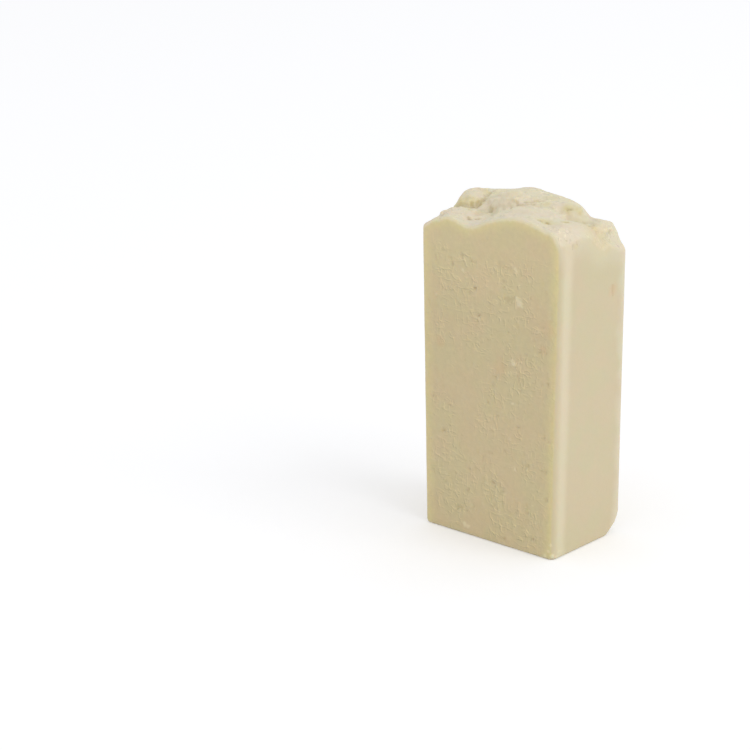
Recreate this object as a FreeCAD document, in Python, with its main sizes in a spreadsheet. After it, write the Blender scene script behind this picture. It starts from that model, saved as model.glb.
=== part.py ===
# A bar of handmade soap, cut by hand from a tall, narrow loaf. It stands on what was the loaf's bottom.
#
# The loaf was poured in a mould whose side walls splay a little. The front and the back of the bar are the
# two cuts that freed it from the loaf. Its left and right sides are the ones that lay against the mould.
# On top is the crust: soap that had grown thick, heaped with a spoon and left rough.
# The bar is one piece. Width runs along X, thickness along Y and height along Z, in millimetres, with the
# origin in the middle of the base. The front cut faces -Y.

import FreeCAD, Part
import os

import Sketcher
from FreeCAD import Placement, Rotation, Vector

DOCUMENT = FreeCAD.newDocument("SoapBar")

# Sizes of the block, each with what it measures.
BLOCK_SIZES = {
    "base_width": (45.6, "across the mould's floor"),
    "top_width": (48.2, "across the mould at side_height"),
    "side_height": (86.0, "floor of the mould to where the crust begins"),
    "base_depth": (30.6, "thickness of the slice at its base"),
    "back_lean": (0.9, "how much thinner the slice is at side_height"),
    "arris_radius": (2.0, "worn round of the four upright edges"),
    "base_radius": (0.5, "worn round of the edges at the base"),
    "break_rise": (8.6, "height of the knocked-off edge on the back cut"),
    "break_reach": (8.0, "how far the knocked-off edge runs in under the base"),
    "break_bulge": (1.1, "how far the middle of the break stands out of a chamfer, backwards and down"),
    "break_run": (30.0, "how far the break runs along the back before it dies out"),
    "crust_room": (14.0, "space above side_height that the crust may fill"),
    "step_place": (1.6, "where along the thickness the low front of the crust climbs to its back"),
    "step_half_run": (3.6, "half the length of that climb"),
    "valley_drift": (0.4, "how far the front outline's left end drifts left per millimetre behind the cut"),
}

# The crust's outline where each cut crosses it: places across the bar from its middle, and heights above
# side_height. The front cut has a low hump, a dip and a broad crest. The back cut is one long crown.
FRONT_OUTLINE = (
    (-27.0, -2.6), (-22.7, 0.4), (-19.0, 2.5), (-14.5, 3.8), (-10.6, 3.3),
    (-7.0, 2.5), (-4.2, 3.2), (-1.0, 5.0), (3.5, 6.5), (8.5, 7.3),
    (13.5, 6.9), (18.0, 5.9), (21.4, 5.0), (24.2, 1.8), (27.0, -3.2),
)
BACK_OUTLINE = (
    (-27.0, 4.4), (-21.5, 4.9), (-15.0, 6.2), (-8.0, 6.8), (-1.0, 6.8), (4.0, 6.6), (8.6, 5.0),
    (12.0, 2.5), (16.0, 2.2), (19.4, 1.7), (21.2, -1.8), (23.2, -4.3), (26.5, -6.6),
)

# Heaps and hollows that the spoon left: middle across the bar, middle along its thickness, half length,
# half width, turn of the length in degrees, and rise. A hollow has a negative rise.
HEAP_FIELDS = ("across", "along", "length", "width", "turn", "rise")
HEAPS = {
    "left_shelf": (-16.5, -8.1, 5.4, 4.8, 24.0, 0.6),
    "rear_left_gap": (-15.2, 7.6, 3.0, 6.4, -12.0, -1.8),
    "ball_crease": (-17.2, 0.8, 4.6, 2.1, 38.0, -1.2),
    "crest_groove": (2.2, 1.5, 8.0, 3.0, 10.0, -1.9),
    "front_pocket": (15.2, -9.6, 2.8, 2.4, -30.0, -1.3),
    "right_hollow": (14.6, 0.6, 3.0, 3.9, 30.0, -1.8),
    "right_side": (22.9, -2.6, 3.6, 7.6, -6.0, 1.0),
    "right_lip": (23.6, 6.6, 2.6, 5.0, 0.0, 2.6),
    "rear_corner": (17.6, 10.3, 4.4, 3.5, -14.0, 0.9),
}

# Spoonfuls that lie on the crust, mostly sunk in it, so that they meet it and one another in creases:
# middle across, middle along the thickness, middle above side_height, three half sizes, then turn and tip
# in degrees.
SPOONFUL_FIELDS = ("across", "along", "above", "length", "width", "height", "turn", "tip")
SPOONFULS = {
    "left_ball": (-21.9, 6.2, 2.1, 5.4, 7.7, 4.0, 10.0, -6.0),
    "crown_left": (-7.7, 5.7, 2.6, 6.8, 5.9, 4.9, -18.0, 4.0),
    "front_crest": (5.0, -6.1, 2.3, 7.4, 5.2, 5.6, -14.0, -4.0),
    "crown_right": (6.9, 8.5, 2.0, 7.0, 4.8, 4.6, 14.0, 8.0),
}

RELIEF_SPACING = 1.4
RELIEF_MARGIN = 2.0
CUT_MARGIN = 4.0
FLAT_TOLERANCE = 0.01


def write_sheet():
    """The sheet of driving sizes, one named cell each."""
    sheet = DOCUMENT.addObject("Spreadsheet::Sheet", "Sizes")
    rows = [(name, value, note) for name, (value, note) in BLOCK_SIZES.items()]
    for group, fields in ((HEAPS, HEAP_FIELDS), (SPOONFULS, SPOONFUL_FIELDS)):
        for name, values in group.items():
            rows += [(f"{name}_{field}", value, field) for field, value in zip(fields, values)]
    for row, (name, value, note) in enumerate(rows, start=1):
        sheet.set(f"A{row}", name)
        sheet.set(f"B{row}", str(value))
        sheet.set(f"C{row}", note)
        sheet.setAlias(f"B{row}", name)
    DOCUMENT.recompute()
    return sheet


SHEET = write_sheet()


def size(name):
    return float(SHEET.get(name))


def sketch_on(body, role, name):
    """A sketch on one of the body's own origin planes."""
    sketch = body.newObject("Sketcher::SketchObject", name)
    plane = next(f for f in body.Origin.OriginFeatures if f.Role == role)
    sketch.AttachmentSupport = (plane, [""])
    sketch.MapMode = "FlatFace"
    return sketch


def outline(sketch, corners):
    """A closed run of lines. Both places of each corner are expressions on the sheet of sizes."""
    places = [[float(sketch.evalExpression(place)) for place in corner] for corner in corners]
    after = [*range(1, len(corners)), 0]
    for i, j in enumerate(after):
        sketch.addGeometry(Part.LineSegment(Vector(*places[i], 0), Vector(*places[j], 0)))
    for i, j in enumerate(after):
        sketch.addConstraint(Sketcher.Constraint("Coincident", i, 2, j, 1))
    for i, corner in enumerate(corners):
        for kind, place, value in zip(("DistanceX", "DistanceY"), corner, places[i]):
            datum = sketch.addConstraint(Sketcher.Constraint(kind, -1, 1, i, 1, value))
            sketch.setExpression(f"Constraints[{datum}]", place)


def edges_where(shape, wanted):
    return [f"Edge{n}" for n, edge in enumerate(shape.Edges, start=1) if wanted(edge)]


def fillet(body, base, name, radius, wanted):
    """Rounds the base feature's edges that pass the test."""
    rounded = body.newObject("PartDesign::Fillet", name)
    rounded.Base = (base, edges_where(base.Shape, wanted))
    rounded.setExpression("Radius", radius)
    DOCUMENT.recompute()
    return rounded


def runs_up(edge):
    ends = [vertex.Point for vertex in edge.Vertexes]
    return len(ends) == 2 and abs(ends[0].z - ends[1].z) > size("side_height")


def lies_at_base(edge):
    return edge.BoundBox.ZMax < FLAT_TOLERANCE


def make_block():
    """The slice of loaf, tall enough to hold the crust: two cuts, two splayed mould sides and a base."""
    body = DOCUMENT.addObject("PartDesign::Body", "Block")
    top = "(Sizes.side_height + Sizes.crust_room)"
    splay = "(Sizes.top_width - Sizes.base_width) / 2 / Sizes.side_height"
    half_top = f"(Sizes.base_width / 2 + {splay} * {top})"
    slice_face = sketch_on(body, "XZ_Plane", "SliceOutline")
    outline(slice_face, [
        ("-Sizes.base_width / 2", "0"), ("Sizes.base_width / 2", "0"),
        (half_top, top), (f"-{half_top}", top),
    ])
    block = body.newObject("PartDesign::Pad", "Slice")
    block.Profile = slice_face
    block.Midplane = True
    block.setExpression("Length", "Sizes.base_depth")
    DOCUMENT.recompute()

    lean = sketch_on(body, "YZ_Plane", "BackLean")
    back = "Sizes.base_depth / 2"
    outline(lean, [
        (back, "0"), (f"{back} + {CUT_MARGIN}", "0"), (f"{back} + {CUT_MARGIN}", top),
        (f"{back} - Sizes.back_lean * {top} / Sizes.side_height", top),
    ])
    cut = body.newObject("PartDesign::Pocket", "BackCut")
    cut.Profile = lean
    cut.Type = "ThroughAll"
    cut.Midplane = True
    DOCUMENT.recompute()

    upright = fillet(body, cut, "UprightEdges", "Sizes.arris_radius", runs_up)
    base = fillet(body, upright, "BaseEdges", "Sizes.base_radius", lies_at_base)
    before = base.Shape.Volume
    body.Tip = break_edge(body)
    DOCUMENT.recompute()
    print(f"block {before:.0f} mm3, less {before - body.Shape.Volume:.0f} mm3 where the edge broke away")
    return body


def break_edge(body):
    """The back edge of the base is knocked off at the right, and the break dies out along the back."""
    back, side = "Sizes.base_depth / 2", "Sizes.base_width / 2"
    far = f"{back} + {CUT_MARGIN}"
    corners = (
        (f"{back} - Sizes.break_reach", "0"),
        (f"{back} - Sizes.break_reach", f"-{CUT_MARGIN}"),
        (far, f"-{CUT_MARGIN}"),
        (far, "Sizes.break_rise"),
        (back, "Sizes.break_rise"),
        (f"{back} - Sizes.break_reach / 2 + Sizes.break_bulge", "Sizes.break_rise / 2 - Sizes.break_bulge"),
    )
    ends = {
        "BreakAtSide": (f"{side} + {CUT_MARGIN}", 0),
        "BreakRunsOut": (f"{side} - Sizes.break_run", 1),
    }
    sketches = []
    for name, (place, gone) in ends.items():
        section = sketch_on(body, "YZ_Plane", name)
        section.setExpression("AttachmentOffset.Base.z", place)
        outline(section, [
            (f"{y} + {gone} * Sizes.break_reach / 2", f"{z} - {gone} * Sizes.break_rise / 2")
            for y, z in corners
        ])
        sketches.append(section)
    cut = body.newObject("PartDesign::SubtractiveLoft", "BrokenEdge")
    cut.Profile = sketches[0]
    cut.Sections = sketches[1:]
    cut.Ruled = True
    return cut


def along(points, place):
    """Height at a place on a smooth line through the points, level with their slopes at each one."""
    i = max(n for n in range(len(points) - 1) if points[n][0] <= place or n == 0)
    (x0, z0), (x1, z1) = points[i], points[i + 1]
    before, beyond = points[max(i - 1, 0)], points[min(i + 2, len(points) - 1)]
    start = (z1 - before[1]) / (x1 - before[0])
    end = (beyond[1] - z0) / (beyond[0] - x0)
    run = x1 - x0
    t = min(max((place - x0) / run, 0.0), 1.0)
    return (
        z0 * (1 + 2 * t) * (1 - t) ** 2 + start * run * t * (1 - t) ** 2
        + z1 * t * t * (3 - 2 * t) - end * run * t * t * (1 - t)
    )


def climb(y):
    """0 before the crust's step and 1 behind it, with an even slope between."""
    t = min(max((y - size("step_place")) / size("step_half_run") / 2 + 0.5, 0.0), 1.0)
    return t * t * (3 - 2 * t)


def heap(name, x, y):
    """How much one heap or hollow adds at a place."""
    across, middle, length, width, turn, rise = (size(f"{name}_{field}") for field in HEAP_FIELDS)
    offset = Rotation(Vector(0, 0, 1), -turn).multVec(Vector(x - across, y - middle, 0))
    reach = (offset.x / length) ** 2 + (offset.y / width) ** 2
    return rise / (1 + reach) ** 2


def drift(x, y):
    """How far the front outline has moved left at a place: most at the left side, and none at the right."""
    half_width, half_depth = size("top_width") / 2, size("base_depth") / 2
    return size("valley_drift") * (y + half_depth) * (half_width - x) / half_width / 2


def crust_height(x, y):
    front, back = along(FRONT_OUTLINE, x + drift(x, y)), along(BACK_OUTLINE, x)
    return size("side_height") + front + (back - front) * climb(y) + sum(heap(name, x, y) for name in HEAPS)


def stations(half_length):
    count = max(4, round(2 * half_length / RELIEF_SPACING))
    return [-half_length + 2 * half_length * n / count for n in range(count + 1)]


def make_relief():
    """Everything below the crust's surface, to well under the base."""
    half_width = size("top_width") / 2 + RELIEF_MARGIN
    half_depth = size("base_depth") / 2 + RELIEF_MARGIN
    grid = [[Vector(x, y, crust_height(x, y)) for y in stations(half_depth)] for x in stations(half_width)]
    surface = Part.BSplineSurface()
    surface.interpolate(grid)
    relief = DOCUMENT.addObject("Part::Feature", "CrustRelief")
    depth = size("side_height") + 2 * size("crust_room")
    relief.Shape = surface.toShape().extrude(Vector(0, 0, -depth))
    return relief


def make_spoonful(name):
    """One spoonful of soap, mostly sunk in the crust."""
    spoonful = DOCUMENT.addObject("Part::Ellipsoid", name)
    spoonful.setExpression("Radius1", f"Sizes.{name}_height")
    spoonful.setExpression("Radius2", f"Sizes.{name}_length")
    spoonful.setExpression("Radius3", f"Sizes.{name}_width")
    spoonful.Placement = Placement(Vector(), Rotation(size(f"{name}_turn"), size(f"{name}_tip"), 0))
    spoonful.setExpression("Placement.Base.x", f"Sizes.{name}_across")
    spoonful.setExpression("Placement.Base.y", f"Sizes.{name}_along")
    spoonful.setExpression("Placement.Base.z", f"Sizes.side_height + Sizes.{name}_above")
    return spoonful


def make_bar():
    """The block as the wire cut it, crust and all."""
    block = make_block()
    crust = DOCUMENT.addObject("Part::MultiFuse", "Crust")
    crust.Shapes = [make_relief(), *(make_spoonful(name) for name in SPOONFULS)]
    bar = DOCUMENT.addObject("Part::MultiCommon", "SoapBar")
    bar.Label = "soap_bar"
    bar.Shapes = [block, crust]
    bar.Refine = True
    DOCUMENT.recompute()
    return bar


def check_document():
    for item in DOCUMENT.Objects:
        wrong = {"Invalid", "Error"} & set(item.State)
        if wrong:
            raise RuntimeError(f"{item.Name} is {', '.join(sorted(wrong))}")


def write_node(node):
    shape = node.Shape
    if shape.isNull() or not shape.isValid() or len(shape.Solids) != 1:
        raise RuntimeError(f"{node.Label} isn't one sound solid")
    os.makedirs("parts", exist_ok=True)
    shape.exportStep(f"parts/{node.Label}.step")
    box = shape.optimalBoundingBox(False)
    print(f"{node.Label}: {box.XLength:.2f} x {box.YLength:.2f} x {box.ZLength:.2f} mm")
    print(f"volume {shape.Volume:.0f} mm3, faces {len(shape.Faces)}")


BAR = make_bar()
check_document()
write_node(BAR)
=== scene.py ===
# %% [markdown]
# # A bar of handmade soap
#
# The object is one tall block of soap, cut from a loaf. Two of its upright faces are cuts, two lay
# against the mould, and on top is a crust that was heaped up with a spoon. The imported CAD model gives
# its size and its main forms. This lesson turns that solid into something that looks like soap: it
# roughens the crust, marks the cuts, and gives the material its waxy depth. Everything is in metres,
# in the CAD model's own frame.

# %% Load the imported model
import math

import bmesh
import bpy
import numpy as np
from mathutils import Euler, Matrix, Vector, kdtree
from mathutils.noise import noise as noise_at


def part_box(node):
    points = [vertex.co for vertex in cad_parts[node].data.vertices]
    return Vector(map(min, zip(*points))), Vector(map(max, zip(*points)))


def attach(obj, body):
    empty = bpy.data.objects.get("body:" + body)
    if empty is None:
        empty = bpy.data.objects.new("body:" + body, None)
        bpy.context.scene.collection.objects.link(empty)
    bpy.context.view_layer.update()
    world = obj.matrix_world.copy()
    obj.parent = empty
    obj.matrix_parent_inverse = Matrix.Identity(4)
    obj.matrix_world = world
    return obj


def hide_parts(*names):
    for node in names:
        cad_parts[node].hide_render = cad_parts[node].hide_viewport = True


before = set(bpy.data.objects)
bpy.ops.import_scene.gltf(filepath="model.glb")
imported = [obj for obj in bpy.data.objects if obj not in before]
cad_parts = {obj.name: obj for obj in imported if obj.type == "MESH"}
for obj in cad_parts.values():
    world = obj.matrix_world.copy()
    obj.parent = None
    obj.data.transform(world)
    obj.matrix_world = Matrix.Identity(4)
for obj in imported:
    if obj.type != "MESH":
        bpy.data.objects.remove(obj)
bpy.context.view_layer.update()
MM = 0.001
BAR_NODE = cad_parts["soap_bar"]
LOW, HIGH = (np.array(corner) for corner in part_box("soap_bar"))
BASE_HALF_WIDTH = 22.8 * MM
TOP_HALF_WIDTH = 24.1 * MM
SIDE_HEIGHT = 86 * MM
CRUST_STARTS = 80 * MM
BACK_LEAN = 0.9 * MM
FRONT, BACK = LOW[1], HIGH[1]
print("CAD box in mm:", np.round(LOW / MM, 1), np.round(HIGH / MM, 1))

# %% [markdown]
# ## The camera
#
# The bar was photographed from its right front corner, a little above, with a long lens. A camera that
# has been fitted to a photograph is best kept as a place, three angles and a focal length, because those
# are what one would note down beside it. The focal length is measured in pixels of the picture, and a
# sensor 36 mm wide turns it into millimetres. The third angle is small: the camera was held half a
# degree askew.

# %% Set up the camera
PICTURE_WIDTH = 750
FOCAL_PIXELS = 2598
CAMERA_PLACE = (0.42036, -0.53122, 0.27031)
CAMERA_AZIMUTH = math.radians(41.8)
CAMERA_ELEVATION = math.radians(18.45)
CAMERA_ROLL = math.radians(-0.5)

lens = bpy.data.cameras.new("long_lens")
lens.sensor_width = 36
lens.lens = FOCAL_PIXELS / PICTURE_WIDTH * lens.sensor_width
camera = bpy.data.objects.new("camera", lens)
camera.location = CAMERA_PLACE
aim = Euler((math.pi / 2 - CAMERA_ELEVATION, 0, CAMERA_AZIMUTH)).to_matrix()
camera.rotation_euler = (aim @ Matrix.Rotation(CAMERA_ROLL, 3, "Z")).to_euler()
bpy.context.scene.collection.objects.link(camera)
bpy.context.scene.camera = camera
bpy.context.scene.view_settings.view_transform = "Standard"
print(f"lens {lens.lens:.1f} mm")

# %% [markdown]
# ## Small helpers for node trees
#
# Materials, the world and Geometry Nodes are all trees of nodes. The first helper adds a node, sets its
# options, and wires or fills its inputs in the same call. The others build on it: a step of arithmetic on
# numbers or vectors, a ramp from one range to another, a noise. With them a tree reads from top to
# bottom, like a recipe.

# %% Define the helpers
def add(tree, kind, wires=None, **settings):
    """A new node. Each wire is an input's name or number, with the socket that feeds it or a plain value."""
    node = tree.nodes.new(kind)
    for name, value in settings.items():
        setattr(node, name, value)
    for key, source in (wires or {}).items():
        if isinstance(source, bpy.types.NodeSocket):
            tree.links.new(source, node.inputs[key])
        else:
            node.inputs[key].default_value = source
    return node


def maths(tree, operation, *terms, clamp=False):
    """The result of one step of arithmetic on sockets or plain numbers."""
    node = add(tree, "ShaderNodeMath", dict(enumerate(terms)), operation=operation, use_clamp=clamp)
    return node.outputs[0]


def vector_maths(tree, operation, first, second):
    """The same for two vectors, part by part."""
    return add(tree, "ShaderNodeVectorMath", {0: first, 1: second}, operation=operation).outputs[0]


def ramp(tree, value, low, high, out_low=0.0, out_high=1.0, smooth=True):
    """The value carried from one range to another, with soft ends."""
    wires = {"Value": value, "From Min": low, "From Max": high, "To Min": out_low, "To Max": out_high}
    kind = "SMOOTHSTEP" if smooth else "LINEAR"
    return add(tree, "ShaderNodeMapRange", wires, interpolation_type=kind).outputs[0]


def per_metre(tree, length):
    return maths(tree, "DIVIDE", 1.0, length)


def noise(tree, position, length, detail, roughness=0.5):
    """A smooth random pattern whose waves are about as long as the length. Output 0 is its strength."""
    wires = {"Vector": position, "Scale": per_metre(tree, length), "Detail": detail, "Roughness": roughness}
    return add(tree, "ShaderNodeTexNoise", wires).outputs


# %% [markdown]
# ## Floor, background and light
#
# The bar stands on white, with only a faint shadow. A real studio gets that with a sweep of white paper.
# Here the floor and the world turn fully white only for the camera's own rays, through the Light Path
# node, so the soap is lit at a plain level and keeps its colour. The floor still shows the shadow,
# because most of what the camera sees there is ordinary paper. One large soft lamp at the right makes the
# mould side a little brighter than the front cut, and gives the folds of the crust their shade.

# %% Lay the floor and set the world
PAPER = (0.915, 0.920, 0.940, 1)
PAPER_LIFT = 0.18
WORLD_LIGHT = 0.80


def make_floor_material():
    material = bpy.data.materials.new("white_paper")
    material.use_nodes = True
    tree = material.node_tree
    tree.nodes.clear()
    paper = add(tree, "ShaderNodeBsdfDiffuse", {"Color": PAPER})
    seen = add(tree, "ShaderNodeLightPath").outputs["Is Camera Ray"]
    lift = add(tree, "ShaderNodeEmission", {"Strength": maths(tree, "MULTIPLY", seen, PAPER_LIFT)})
    both = add(tree, "ShaderNodeAddShader", {0: paper.outputs[0], 1: lift.outputs[0]})
    add(tree, "ShaderNodeOutputMaterial", {"Surface": both.outputs[0]})
    return material


def make_floor(half_side=6.0):
    mesh = bpy.data.meshes.new("floor")
    corners = [(x * half_side, y * half_side, 0) for x, y in ((-1, -1), (1, -1), (1, 1), (-1, 1))]
    mesh.from_pydata(corners, [], [(0, 1, 2, 3)])
    mesh.materials.append(make_floor_material())
    floor = bpy.data.objects.new("floor", mesh)
    bpy.context.scene.collection.objects.link(floor)


def make_world():
    world = bpy.data.worlds.new("white_room")
    world.use_nodes = True
    tree = world.node_tree
    tree.nodes.clear()
    seen = add(tree, "ShaderNodeLightPath").outputs["Is Camera Ray"]
    strength = maths(tree, "MULTIPLY_ADD", seen, 1.0 - WORLD_LIGHT, WORLD_LIGHT)
    light = add(tree, "ShaderNodeBackground", {"Color": (1, 1, 1, 1), "Strength": strength})
    add(tree, "ShaderNodeOutputWorld", {"Surface": light.outputs[0]})
    bpy.context.scene.world = world


make_floor()
make_world()

# %% Hang the lamps
# Each lamp: place and size in metres, power in watts. All of them are aimed at the middle of the bar.
LAMPS = {
    "softbox_from_right": ((1.3, 0.1, 1.2), 1.2, 7.0),
}
AIM = Vector((0, 0, 0.05))


def make_lamp(name, place, side, power):
    lamp = bpy.data.lights.new(name, "AREA")
    lamp.shape = "SQUARE"
    lamp.size = side
    lamp.energy = power
    holder = bpy.data.objects.new(name, lamp)
    holder.location = place
    holder.rotation_euler = (AIM - Vector(place)).to_track_quat("-Z", "Y").to_euler()
    bpy.context.scene.collection.objects.link(holder)


for lamp_name, (place, side, power) in LAMPS.items():
    make_lamp(lamp_name, place, side, power)

# %% [markdown]
# ## Soap
#
# Soap is neither chalk nor plastic. Light goes a few millimetres in and comes out warmer, which softens
# the edges and the shadows in the folds, and the surface has a faint waxy gloss. Subsurface scattering
# gives the first, and a middling roughness the second. The colour changes with how the soap dried. The
# heart of a cut face is a little pinker and greyer than its rim, the crust is palest, and a pale strip
# runs down each mould side beside the cuts. Hollows and pits are given painted shade, a darker brown
# that stands for the shadow in them. A few damp spots on the crust are yellow, and here and there the
# soap blushes.
#
# Most of this follows from where a place is: how far from the cuts and from the mould sides. What depends
# on the sculpted skin comes as attributes, which the last cells measure: crust, hollow, pit, damp, blush,
# flake, and the distance from the crust.

# %% Name the colours of the soap
CUT_COLOUR = (0.656, 0.550, 0.332, 1)
RIM_COLOUR = (0.704, 0.612, 0.330, 1)
SIDE_COLOUR = (0.664, 0.576, 0.382, 1)
STRIP_COLOUR = (0.738, 0.660, 0.465, 1)
BACK_STRIP_COLOUR = (0.752, 0.695, 0.530, 1)
FLAKE_COLOUR = (0.850, 0.760, 0.530, 1)
CRUST_COLOUR = (0.755, 0.692, 0.532, 1)
# Painted shade: the darker brown that hollows and pits take, for the shadow that falls in them.
HOLLOW_SHADE_COLOUR = (0.520, 0.430, 0.240, 1)
DAMP_COLOUR = (0.690, 0.600, 0.300, 1)
PINKER = (1.018, 0.988, 0.985, 1)
GREENER = (0.988, 1.004, 0.972, 1)
CRUST_PINK = (1.015, 0.980, 0.970, 1)
CRUST_YELLOW = (0.995, 1.004, 0.950, 1)
BLUSH = (1.050, 0.930, 0.900, 1)
SKIN_DEPTH = 2.2 * MM
RIM_WIDTH = 3.4 * MM
STRIP_MIDDLE = 3.4 * MM
STRIP_HALF_WIDTH = 3.2 * MM
BACK_STRIP_WIDTH = 4.5 * MM
BACK_STRIP_AMOUNT = 0.75
UNDER_CRUST_AMOUNT = 0.55
DRIED_AMOUNT = 0.8


def attribute(tree, name):
    return add(tree, "ShaderNodeAttribute", attribute_name=name, attribute_type="GEOMETRY").outputs["Fac"]


def blend_colours(tree, amount, first, second, way="MIX"):
    """One colour over another. A Mix node has inputs for every kind of data: 0, 6 and 7 are for colours."""
    mix = add(tree, "ShaderNodeMix", data_type="RGBA", blend_type=way)
    for key, source in ((0, amount), (6, first), (7, second)):
        if isinstance(source, bpy.types.NodeSocket):
            tree.links.new(source, mix.inputs[key])
        else:
            mix.inputs[key].default_value = source
    return mix.outputs[2]


def scaled(tree, vector, factor):
    return add(tree, "ShaderNodeVectorMath", {0: vector, "Scale": factor}, operation="SCALE").outputs[0]


def split(tree, vector):
    """The parts of a vector, called X, Y and Z."""
    return add(tree, "ShaderNodeSeparateXYZ", {0: vector}).outputs


# %% Find the nearest faces of the block
def room_to_side(tree, parts):
    """How far a place is from the nearer mould side, which splays a little."""
    splay = (TOP_HALF_WIDTH - BASE_HALF_WIDTH) / SIDE_HEIGHT
    half_width = maths(tree, "MULTIPLY_ADD", parts["Z"], splay, BASE_HALF_WIDTH)
    return maths(tree, "SUBTRACT", half_width, maths(tree, "ABSOLUTE", parts["X"]))


def room_to_front(tree, parts):
    return maths(tree, "SUBTRACT", parts["Y"], FRONT)


def room_to_back(tree, parts):
    back = maths(tree, "MULTIPLY_ADD", parts["Z"], -BACK_LEAN / SIDE_HEIGHT, BACK)
    return maths(tree, "SUBTRACT", back, parts["Y"])


def room_to_cut(tree, parts):
    """How far a place is from the nearer cut, in front or behind."""
    return maths(tree, "MINIMUM", room_to_front(tree, parts), room_to_back(tree, parts))


# %% Colour the cuts and the mould sides
def wander(tree, place, length, most):
    """A length that drifts to both sides of nothing, for edges that shouldn't run straight."""
    return maths(tree, "MULTIPLY_ADD", noise(tree, place, length, 2.0)[0], 2 * most, -most)


def cut_colour(tree, place, parts):
    """A cut face: a yellow rim of uneven width round a pinker heart, dried pale along the crust."""
    # The rim is a little narrower along the crust than along the sides, so distances count for more there.
    below_crust = maths(tree, "MULTIPLY", attribute(tree, "from_crust"), 1.25)
    nearest = maths(tree, "MINIMUM", room_to_side(tree, parts), below_crust)
    nearest = maths(tree, "ADD", nearest, wander(tree, place, 5 * MM, 1.2 * MM))
    cut = blend_colours(tree, ramp(tree, nearest, 0.8 * MM, RIM_WIDTH + 1.6 * MM), RIM_COLOUR, CUT_COLOUR)
    dried = ramp(tree, attribute(tree, "from_crust"), 0.3 * MM, 1.5 * MM, DRIED_AMOUNT, 0.0)
    return blend_colours(tree, dried, cut, CRUST_COLOUR)


def side_colour(tree, place, parts):
    """A mould side: pale below the crust, and paler still in a strip beside each cut."""
    under_crust = ramp(tree, attribute(tree, "from_crust"), 0.0, 7 * MM, UNDER_CRUST_AMOUNT, 0.0)
    side = blend_colours(tree, under_crust, SIDE_COLOUR, CRUST_COLOUR)
    in_front = maths(tree, "ADD", room_to_front(tree, parts), wander(tree, place, 7 * MM, 0.6 * MM))
    off_middle = maths(tree, "ABSOLUTE", maths(tree, "SUBTRACT", in_front, STRIP_MIDDLE))
    in_strip = ramp(tree, off_middle, 0.4 * MM, STRIP_HALF_WIDTH, 1.0, 0.0)
    side = blend_colours(tree, in_strip, side, STRIP_COLOUR)
    behind = maths(tree, "ADD", room_to_back(tree, parts), wander(tree, place, 8 * MM, 2.4 * MM))
    in_back_strip = ramp(tree, behind, 0.5 * MM, BACK_STRIP_WIDTH, BACK_STRIP_AMOUNT, 0.0)
    return blend_colours(tree, in_back_strip, side, BACK_STRIP_COLOUR)


# %% [markdown]
# ### The finest scratches
#
# The wire and the drying left hair-thin strokes on the cuts and a few on the crust, too fine to sculpt,
# because the even faces of the skin are 0.3 mm wide. They are drawn in the material instead. A smooth
# noise that is squeezed along one direction has long level lines, and keeping only what lies near its
# middle level gives thin strokes. Each is drawn once bright, partly the paler soap of the scratch and
# partly a painted highlight, and once dark a little to the side, a painted shadow, as a raised thread
# would look in light from one side. The same strokes drive the bump, so that colour and relief agree.

# %% Draw the finest scratches
# How wide a stroke is, as a share of the noise's range, and how far its painted shadow is shifted.
STROKE_WIDTH = 0.075
STROKE_SHADOW = (0.16 * MM, 0.0, 0.16 * MM)
STROKES = {"upright": (1.0, 1.0, 0.42), "level": (0.42, 1.0, 1.0), "slanting": (0.8, 1.0, 0.9)}


def strokes(tree, place, stretch, length=2.2 * MM):
    """Short thin strokes: the level lines of a stretched noise, let through here and there by a second."""
    squeezed = vector_maths(tree, "MULTIPLY", place, stretch)
    level = maths(tree, "SUBTRACT", noise(tree, squeezed, length, 1.0)[0], 0.5)
    level = maths(tree, "ABSOLUTE", level)
    here = ramp(tree, noise(tree, squeezed, 0.7 * length, 1.0)[0], 0.50, 0.58)
    return maths(tree, "MULTIPLY", ramp(tree, level, 0.0, STROKE_WIDTH, 1.0, 0.0), here)


def fine_scratches(tree, place):
    """All the fine scratches, each bright, partly with a painted highlight, and with a painted shadow at its
    side, gathered in loose clusters.
    """
    beside = vector_maths(tree, "ADD", place, STROKE_SHADOW)
    total = 0.0
    for stretch in STROKES.values():
        total = maths(tree, "ADD", strokes(tree, place, stretch), total)
        total = maths(tree, "MULTIPLY_ADD", strokes(tree, beside, stretch), -0.9, total)
    cluster = ramp(tree, noise(tree, place, 10 * MM, 2.0)[0], 0.42, 0.58, 0.12, 1.0)
    return maths(tree, "MULTIPLY", total, cluster)


def where_scratched(tree, place, on_cut):
    """Most on the middle of a cut, none along its top, and a little all over the crust."""
    parts = split(tree, place)
    inner = ramp(tree, room_to_side(tree, parts), 2 * MM, 8 * MM, 0.3, 1.0)
    inner = maths(tree, "MULTIPLY", inner, ramp(tree, parts["Z"], 79 * MM, 86 * MM, 1.0, 0.0))
    inner = maths(tree, "MULTIPLY", inner, on_cut)
    return maths(tree, "MAXIMUM", inner, maths(tree, "MULTIPLY", attribute(tree, "crust"), 0.7))


# %% [markdown]
# ### The mix
#
# The parts come together as paint is mixed: first the flat faces, cut or mould side, with large faint
# patches, a fine grain and painted light that makes the cuts lighter towards the top, then the crust
# over them, and at the end what is small: the scratches with their painted highlights and shadows,
# flakes, damp spots, and painted shade in the hollows and pits. Each step blends a colour into the one
# before by an amount from 0 to 1, so any of them can be turned down alone.

# %% Mix the soap
# Painted light: how much lighter the cuts grow towards the top, standing for the shade on their lower part.
CUT_TOP_PAINTED_LIGHT = 0.07
# How strongly the scratches carry their painted highlight and painted shadow.
SCRATCH_PAINTED_LIGHT_AND_SHADE = 0.20
FLAKE_AMOUNT = 0.50


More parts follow.
